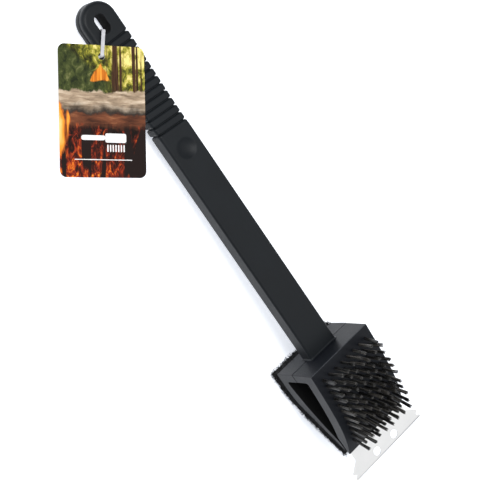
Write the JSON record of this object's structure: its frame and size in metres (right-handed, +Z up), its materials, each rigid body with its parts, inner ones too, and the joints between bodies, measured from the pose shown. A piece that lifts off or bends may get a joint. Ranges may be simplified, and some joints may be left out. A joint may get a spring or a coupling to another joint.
{
  "type": "grill cleaning brush",
  "caption": "Long-handled grill cleaning brush with a hollow wedge head: bristle tufts above, scouring pad below, steel scraper at the tip, and a swivelling hang tag.",
  "frame": {"origin": "centre of the bounding box's base, on the surface that the brush lies on", "axes": "+X along the brush towards the scraper, +Z up on the bristle side, +Y towards the side away from the tag; the brush lies on the end of its handle and the pad's rear edge, so the handle rises towards the head"},
  "size_m": [0.3796, 0.1194, 0.0684],
  "materials": {
    "handle_plastic": "satin black moulded plastic, lightly grained",
    "head_plastic": "satin black moulded plastic, lightly grained",
    "bristle": "stiff black bristle",
    "blade_steel": "bright stamped sheet steel with a ground edge",
    "screw_steel": "zinc-plated screw",
    "scouring_fibre": "black non-woven scouring fibre",
    "strap_plastic": "pale grey flat plastic tie",
    "tag_card": null
  },
  "bodies": {
    "brush": {"handle": "handle_plastic", "bristle_block": "head_plastic", "pad_carrier": "head_plastic", "scouring_pad": "scouring_fibre", "scraper_blade": "blade_steel", "tuft_row_01": "bristle", "tuft_row_02": "bristle", "tuft_row_03": "bristle", "tuft_row_04": "bristle", "tuft_row_05": "bristle", "tuft_row_06": "bristle", "tuft_row_07": "bristle", "tuft_row_08": "bristle", "tuft_row_09": "bristle", "tuft_row_10": "bristle", "tuft_row_11": "bristle", "housing_screw_rear_right": "screw_steel", "housing_screw_rear_left": "screw_steel", "housing_screw_front_right": "screw_steel", "housing_screw_front_left": "screw_steel"},
    "strap": {"tag_strap": "strap_plastic"},
    "tag": {"hang_tag": "tag_card"}
  },
  "joints": [
    {"name": "strap_swivel", "type": "hinge", "parent": "brush", "child": "strap", "pos_m": [-0.17086, 0.02215, 0.00755], "axis": [-0.0804, 0, 0.9968], "range_deg": [-108, 0]},
    {"name": "tag_spin", "type": "hinge", "parent": "strap", "child": "tag", "pos_m": [-0.1579, 0.01044, 0.0086], "axis": [-0.0804, 0, 0.9968], "range_deg": [-60, 50]}
  ]
}
